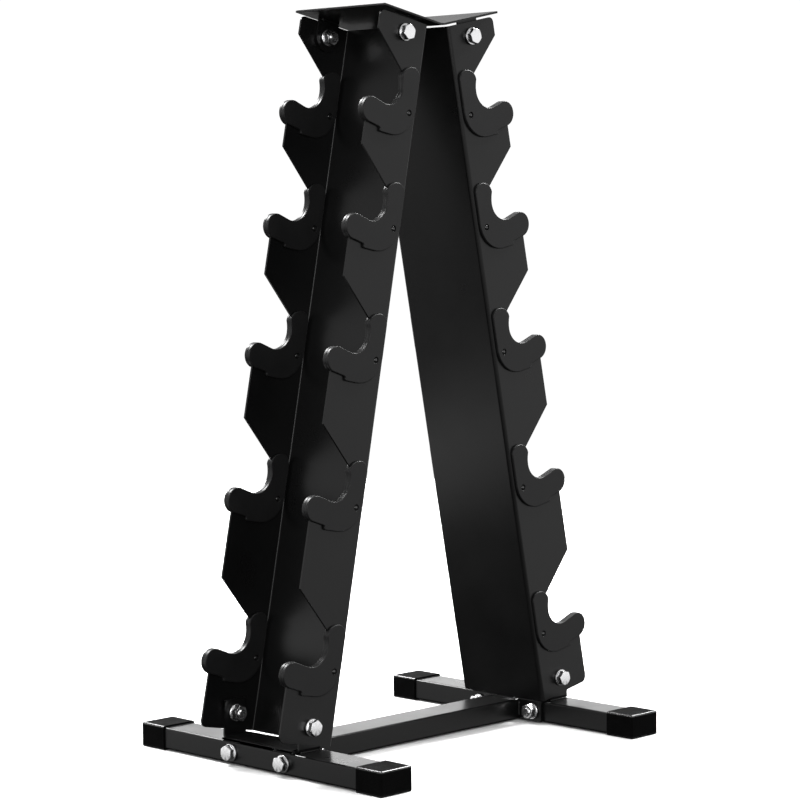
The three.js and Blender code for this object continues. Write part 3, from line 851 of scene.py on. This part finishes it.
def make_pad(name, cradle_z):
    """One pad on the front flange of the right channel, in the channel's frame."""
    lobe_z = cradle_z + NECK_RISE - LOBE_RADIUS / 2
    outside_y = PAD_MIDDLE - PAD_THICK / 2
    piece = start_outline(name, PAD_REAR, outside_y, lobe_z)
    draw_pad(piece, cradle_z)
    close_outline()
    side = PAD_THICK / 2 - GROOVE_HALF
    for step in (side, GROOVE_HALF, GROOVE_HALF, side):
        bpy.ops.mesh.extrude_region_move(TRANSFORM_OT_translate={"value": (0, step, 0)})
    bpy.ops.mesh.select_all(action="SELECT")
    bpy.ops.mesh.normals_make_consistent(inside=False)
    pick(piece, "verts", lambda vertex: abs(vertex.co.y - PAD_MIDDLE) < TOUCHING)
    bpy.ops.transform.shrink_fatten(value=-GROOVE_DEPTH)

    def on_face(edge):
        """Whether an edge runs round one of the pad's two faces."""
        low = all(abs(vertex.co.y - outside_y) < TOUCHING for vertex in edge.verts)
        high = all(abs(vertex.co.y - outside_y - PAD_THICK) < TOUCHING for vertex in edge.verts)
        return low or high

    pick(piece, "edges", on_face)
    bpy.ops.mesh.bevel(offset=PAD_EDGE, segments=4, affect="EDGES")
    bpy.ops.object.mode_set(mode="OBJECT")
    slot_low = cradle_z - PAD_DROP - PAST_PAD
    slot_top = cradle_z + NECK_RISE + 2 * PAST_PAD
    slot_y = PAD_MIDDLE - SHEET / 2 - PAD_GAP
    slot = start_outline("slot", -2 * PAST_PAD, slot_y, slot_top)
    line_to(slot, CRADLE_WALL + PAST_PAD, slot_top)
    draw_hook(slot, cradle_z, PAD_GAP)
    line_to(slot, flange_reach(slot_low) + PAD_GAP, slot_low)
    line_to(slot, -2 * PAST_PAD, slot_low)
    close_outline()
    bpy.ops.mesh.extrude_region_move(TRANSFORM_OT_translate={"value": (0, SHEET + 2 * PAD_GAP, 0)})
    bpy.ops.mesh.select_all(action="SELECT")
    bpy.ops.mesh.normals_make_consistent(inside=False)
    bpy.ops.object.mode_set(mode="OBJECT")
    cut_away(piece, slot)
    faces = (PAD_MIDDLE - PAD_THICK / 2, PAD_MIDDLE + PAD_THICK / 2)
    pin_z = cradle_z - PIN_DROP
    drill(piece, [(PIN_REACH, y, pin_z) for y in faces], DIMPLE_RADIUS, 2 * DIMPLE_DEPTH, "y")
    soften(piece, SLOT_EDGE, segments=1, sharp=50)
    return piece


def make_pin(cradle_z):
    """The snap pin between a pad's two sides, with a domed end in each dimple."""
    half = PAD_THICK / 2 - PIN_SUNK
    bpy.ops.object.select_all(action="DESELECT")
    bpy.ops.mesh.primitive_cylinder_add(
        vertices=24,
        radius=PIN_RADIUS,
        depth=2 * half,
        location=(PIN_REACH, PAD_MIDDLE, cradle_z - PIN_DROP),
        rotation=(math.pi / 2, 0, 0),
    )
    pin = bpy.context.object
    bpy.ops.object.transform_apply(location=True, rotation=True, scale=True)
    bpy.ops.object.mode_set(mode="EDIT")
    pick(pin, "edges", lambda edge: abs(edge.verts[0].co.y - edge.verts[1].co.y) < TOUCHING)
    bpy.ops.mesh.bevel(offset=PIN_DOME, segments=5, affect="EDGES")
    bpy.ops.object.mode_set(mode="OBJECT")
    bpy.ops.object.shade_smooth_by_angle(angle=SMOOTH_ANGLE)
    return pin


for tier, cradle_z in enumerate(cradle_heights, start=1):
    pad = make_pad(f"right_front_saddle_{tier}", cradle_z)
    pin = make_pin(cradle_z)
    pad.data.materials.append(pad_rubber)
    pin.data.materials.append(pin_nylon)
    pad = join_pieces(pad.name, [pad, pin])
    pad.data.transform(channel_frame)
    back = Matrix.Translation((0, -2 * PAD_MIDDLE, 0))
    for half, face, move in (
        ("right", "back", back),
        ("left", "back", HALF_TURN),
        ("left", "front", HALF_TURN @ back),
    ):
        twin = copy_of(pad, f"{half}_{face}_saddle_{tier}", move)
        fit(twin, pad_rubber, "pad_rubber", f"{half}_{face}_pad_{tier}")
    fit(pad, pad_rubber, "pad_rubber", f"right_front_pad_{tier}")

# Bolts, washers and nuts --------------------------------------------------------------------
# M8 hex bolts, plain washers and hex nuts, cold-formed and bright zinc-plated. Eight short ones
# pass through the flanges and their tabs, and four long ones through the feet and end plates.

HEX_RADIUS = 6.5 * MM / math.cos(math.pi / 6)
HEAD_HEIGHT = 5.3 * MM
NUT_HEIGHT = 6.5 * MM
WASHER_RADIUS = 8 * MM
WASHER_THICK = 1.6 * MM
BOLT_RADIUS = 4 * MM
THREAD_DEPTH = 0.65 * MM
THREAD_PITCH = 1.25 * MM
THREAD_LENGTH = 10 * MM
PAST_NUT = 1.5 * MM
HEX_EDGE = 0.12 * MM
HEX_FLAT = 6.2 * MM
HEX_CHAMFER = 0.75 * MM
THREAD_END = 0.5 * MM
CREST_WEAR = 0.05 * MM
WASHER_HOLE = BOLT_RADIUS + 0.3 * MM
WASHER_EDGE = 0.35 * MM
TURNED_DOUBLES = 0.002 * MM
FLANGE_GRIP = 5.2 * MM
FOOT_GRIP = 39.2 * MM


def bright_zinc():
    """Bright zinc plating with fine handling marks and a slightly mottled gloss."""
    material, tree, shader = node_tree("bright_zinc")
    shader.inputs["Metallic"].default_value = 1.0
    cloud = surface_noise(tree, 3 * MM, detail=3.0)
    grain = surface_noise(tree, 0.5 * MM, detail=2.0)
    tint(tree, cloud, (0.84, 0.84, 0.85), (0.93, 0.93, 0.935), shader.inputs["Base Color"])
    spread(tree, cloud, 0.16, 0.28, shader.inputs["Roughness"])
    relief(tree, shader, [(grain, 0.015 * MM)])
    return material


bright_metal = bright_zinc()


def turn_profile(name, points):
    """A solid turned about Z from a profile that starts and ends on the axis."""
    piece = start_outline(name, points[0][0], 0, points[0][1])
    for x, z in points[1:]:
        line_to(piece, x, z)
    bpy.ops.mesh.select_all(action="SELECT")
    bpy.ops.mesh.spin(steps=48, angle=2 * math.pi, center=(0, 0, 0), axis=(0, 0, 1))
    bpy.ops.mesh.select_all(action="SELECT")
    bpy.ops.mesh.remove_doubles(threshold=TURNED_DOUBLES)
    bpy.ops.mesh.normals_make_consistent(inside=False)
    bpy.ops.object.mode_set(mode="OBJECT")
    return piece


def make_hex(name, low, high, chamfer_low):
    """A hexagon with its corners turned off to a chamfer."""
    bpy.ops.object.select_all(action="DESELECT")
    bpy.ops.mesh.primitive_cylinder_add(
        vertices=6, radius=HEX_RADIUS, depth=high - low, location=(0, 0, (low + high) / 2)
    )
    piece = bpy.context.object
    piece.name = name
    bpy.ops.object.transform_apply(location=True, rotation=True, scale=True)
    wide = HEX_RADIUS + 0.4 * MM
    profile = [(0, high), (HEX_FLAT, high), (wide, high - HEX_CHAMFER)]
    profile += [(wide, low + HEX_CHAMFER), (HEX_FLAT, low)] if chamfer_low else [(wide, low)]
    envelope = turn_profile("hex_envelope", profile + [(0, low)])
    cut_away(piece, envelope, "INTERSECT")
    return piece


def make_bolt(name, grip_end):
    """A bolt with its seat at the origin, its head up and its threaded end at grip_end."""
    head = make_hex(name, WASHER_THICK, WASHER_THICK + HEAD_HEIGHT, False)
    soften(head, HEX_EDGE)
    root = BOLT_RADIUS - THREAD_DEPTH
    inside_head = WASHER_THICK + 1 * MM
    profile = [(0, inside_head), (BOLT_RADIUS, inside_head)]
    z = grip_end + THREAD_LENGTH
    profile.append((BOLT_RADIUS, z))
    while z - THREAD_PITCH > grip_end + THREAD_END:
        profile += [(root, z - THREAD_PITCH / 2), (BOLT_RADIUS - CREST_WEAR, z - THREAD_PITCH)]
        z -= THREAD_PITCH
    profile += [(root, grip_end), (0, grip_end)]
    shank = turn_profile("shank", profile)
    bpy.ops.object.select_all(action="DESELECT")
    shank.select_set(True)
    bpy.ops.object.shade_smooth_by_angle(angle=math.radians(25))
    head.select_set(True)
    bpy.context.view_layer.objects.active = head
    bpy.ops.object.join()
    return head


def make_washer(name, low):
    """A stamped washer, rounded at the rim on its die side."""
    high = low + WASHER_THICK
    piece = start_outline(name, WASHER_HOLE, 0, low)
    line_to(piece, WASHER_RADIUS - WASHER_EDGE, low)
    line_to(piece, WASHER_RADIUS, low + WASHER_EDGE)
    line_to(piece, WASHER_RADIUS, high - WASHER_EDGE)
    line_to(piece, WASHER_RADIUS - WASHER_EDGE / 3, high - WASHER_EDGE / 3)
    line_to(piece, WASHER_RADIUS - WASHER_EDGE, high)
    line_to(piece, WASHER_HOLE, high)
    line_to(piece, WASHER_HOLE, low)
    bpy.ops.mesh.select_all(action="SELECT")
    bpy.ops.mesh.spin(steps=64, angle=2 * math.pi, center=(0, 0, 0), axis=(0, 0, 1))
    bpy.ops.mesh.select_all(action="SELECT")
    bpy.ops.mesh.remove_doubles(threshold=TURNED_DOUBLES)
    bpy.ops.mesh.normals_make_consistent(inside=False)
    bpy.ops.object.mode_set(mode="OBJECT")
    bpy.ops.object.shade_smooth_by_angle(angle=math.radians(30))
    return piece


def make_nut(name, low):
    """A nut chamfered on both faces, with its bore countersunk."""
    high = low + NUT_HEIGHT
    bore = BOLT_RADIUS + 0.1 * MM
    mouth = BOLT_RADIUS + 0.7 * MM
    piece = make_hex(name, low, high, True)
    past = 0.2 * MM
    hole = turn_profile(
        "bore",
        [
            (0, high + past),
            (mouth + past, high + past),
            (bore, high + bore - mouth),
            (bore, low + mouth - bore),
            (mouth + past, low - past),
            (0, low - past),
        ],
    )
    cut_away(piece, hole)
    soften(piece, HEX_EDGE)
    return piece


def seat_of(node, axis):
    """Where a bolt's washer sits, and the way its head points."""
    low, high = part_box(node)
    seat = (low + high) / 2
    out = Vector((0, 0, 0))
    out[axis] = math.copysign(1, seat[axis])
    reach = max(abs(low[axis]), abs(high[axis])) - HEAD_HEIGHT - WASHER_THICK
    seat[axis] = out[axis] * reach
    return seat, out


def bolt_set(joint, axis, grip):
    """One joint's bolt, washers and nut, copied into all its places and each turned its own way."""
    nut_high = -grip - WASHER_THICK
    grip_end = nut_high - NUT_HEIGHT - PAST_NUT
    parts = {
        "bolt": make_bolt(f"{joint}_bolt", grip_end),
        "nut": make_nut(f"{joint}_nut", nut_high - NUT_HEIGHT),
        "head_washer": make_washer(f"{joint}_head_washer", 0),
        "nut_washer": make_washer(f"{joint}_nut_washer", nut_high),
    }
    for place, (half, face) in enumerate(
        ((half, face) for half in ("left", "right") for face in ("front", "back"))
    ):
        name = f"{half}_{face}_{joint}"
        seat, out = seat_of(f"{name}_bolt", axis)
        aim = Matrix.Translation(seat) @ out.to_track_quat("Z", "Y").to_matrix().to_4x4()
        for kind, part in parts.items():
            turn = Matrix.Rotation(math.radians(17 * place + 11 * len(kind)), 4, "Z")
            twin = copy_of(part, f"{name}_m8_{kind}", aim @ turn)
            node = (f"{name}_{kind}",) if kind in ("bolt", "nut") else ()
            fit(twin, bright_metal, "zinc_fastener", *node)
    for part in parts.values():
        bpy.data.objects.remove(part)


bolt_set("bottom", 1, FLANGE_GRIP)
bolt_set("top", 1, FLANGE_GRIP)
bolt_set("foot", 0, FOOT_GRIP)

# Studio -------------------------------------------------------------------------------------
# A plain white floor and backdrop under broad soft lights, with a pale band of light round the
# horizon for the black paint to reflect, and the camera.


def studio_white():
    """A plain, very pale floor."""
    material, tree, shader = node_tree("studio_white")
    shader.inputs["Base Color"].default_value = (0.9, 0.9, 0.9, 1)
    shader.inputs["Roughness"].default_value = 0.9
    shader.inputs["Specular IOR Level"].default_value = 0.0
    return material


bpy.ops.object.select_all(action="DESELECT")
bpy.ops.mesh.primitive_circle_add(vertices=96, radius=2.4, fill_type="NGON")
floor = bpy.context.object
floor.name = "floor"
floor.data.materials.append(studio_white())
floor.visible_glossy = False
floor.visible_diffuse = False


def soft_light(name, azimuth, elevation, distance, width, height, power, aim=(0, 0, 0.3)):
    """A softbox seen from the middle of the rack at an azimuth and elevation, in degrees."""
    turn, tilt = math.radians(azimuth), math.radians(elevation)
    way = Vector((math.cos(turn) * math.cos(tilt), math.sin(turn) * math.cos(tilt), math.sin(tilt)))
    lamp = bpy.data.lights.new(name, "AREA")
    lamp.shape = "RECTANGLE"
    lamp.size = width
    lamp.size_y = height
    lamp.energy = power
    holder = bpy.data.objects.new(name, lamp)
    holder.location = Vector(aim) + distance * way
    holder.rotation_euler = way.to_track_quat("Z", "Y").to_euler()
    holder.visible_camera = False
    bpy.context.scene.collection.objects.link(holder)


# Azimuth and elevation in degrees, then distance, width and height in metres, and power in watts
soft_light("overhead", 45, 85, 2.4, 2.2, 2.2, 40)
soft_light("right_strip", -4, 44, 2.6, 0.9, 0.9, 130)
soft_light("back_strip", 94, 44, 2.6, 0.9, 0.9, 130)
soft_light("horizon_box", 45, 6, 3.0, 2.2, 0.4, 8)
soft_light("front_box", -135, 17, 2.9, 2.2, 1.2, 30)
soft_light("low_left", 121, 0, 0.45, 0.3, 0.12, 0.13, aim=(0, 0, 0.08))

world = bpy.data.worlds.new("studio")
bpy.context.scene.world = world
world.use_nodes = True
sky = world.node_tree
surround = sky.nodes["Background"]
backdrop = sky.nodes.new("ShaderNodeBackground")
backdrop.inputs["Color"].default_value = (1, 1, 1, 1)
backdrop.inputs["Strength"].default_value = 1.05
way = sky.nodes.new("ShaderNodeTexCoord")
upright = sky.nodes.new("ShaderNodeSeparateXYZ")
climb = sky.nodes.new("ShaderNodeMapRange")
climb.inputs["From Min"].default_value = -1
climb.inputs["From Max"].default_value = 1
glow = sky.nodes.new("ShaderNodeValToRGB")

# Elevation in degrees, and how bright the surroundings are there
HORIZON_GLOW = (
    (-90, 0.04),
    (-27, 0.04),
    (-18, 0.1),
    (-11.5, 0.9),
    (-7, 1.0),
    (7, 1.0),
    (16, 0.6),
    (30, 0.25),
    (90, 0.3),
)
for i, (elevation, strength) in enumerate(HORIZON_GLOW):
    place = (math.sin(math.radians(elevation)) + 1) / 2
    stop = glow.color_ramp.elements[0] if i == 0 else glow.color_ramp.elements.new(place)
    stop.position = place
    stop.color = (strength, strength, strength, 1)
mix = sky.nodes.new("ShaderNodeMixShader")
path = sky.nodes.new("ShaderNodeLightPath")
sky.links.new(way.outputs["Generated"], upright.inputs["Vector"])
sky.links.new(upright.outputs["Z"], climb.inputs["Value"])
sky.links.new(climb.outputs["Result"], glow.inputs["Fac"])
sky.links.new(glow.outputs["Color"], surround.inputs["Color"])
sky.links.new(path.outputs["Is Camera Ray"], mix.inputs["Fac"])
sky.links.new(surround.outputs["Background"], mix.inputs[1])
sky.links.new(backdrop.outputs["Background"], mix.inputs[2])
sky.links.new(mix.outputs["Shader"], sky.nodes["World Output"].inputs["Surface"])

CAMERA_PLACE = Vector((-1.71417, -1.70059, 0.50166))
CAMERA_TURN = math.radians(-45.236)
CAMERA_PITCH = math.radians(-4.212)
CAMERA_ROLL = math.radians(-0.374)
CAMERA_LENS = 115.75

lens = bpy.data.cameras.new("camera")
lens.lens = CAMERA_LENS
lens.sensor_width = 36
camera = bpy.data.objects.new("camera", lens)
camera.matrix_world = (
    Matrix.Translation(CAMERA_PLACE)
    @ Matrix.Rotation(CAMERA_TURN, 4, "Z")
    @ Matrix.Rotation(math.pi / 2 + CAMERA_PITCH, 4, "X")
    @ Matrix.Rotation(CAMERA_ROLL, 4, "Z")
)
bpy.context.scene.collection.objects.link(camera)
bpy.context.scene.camera = camera
bpy.context.scene.view_settings.view_transform = "Standard"
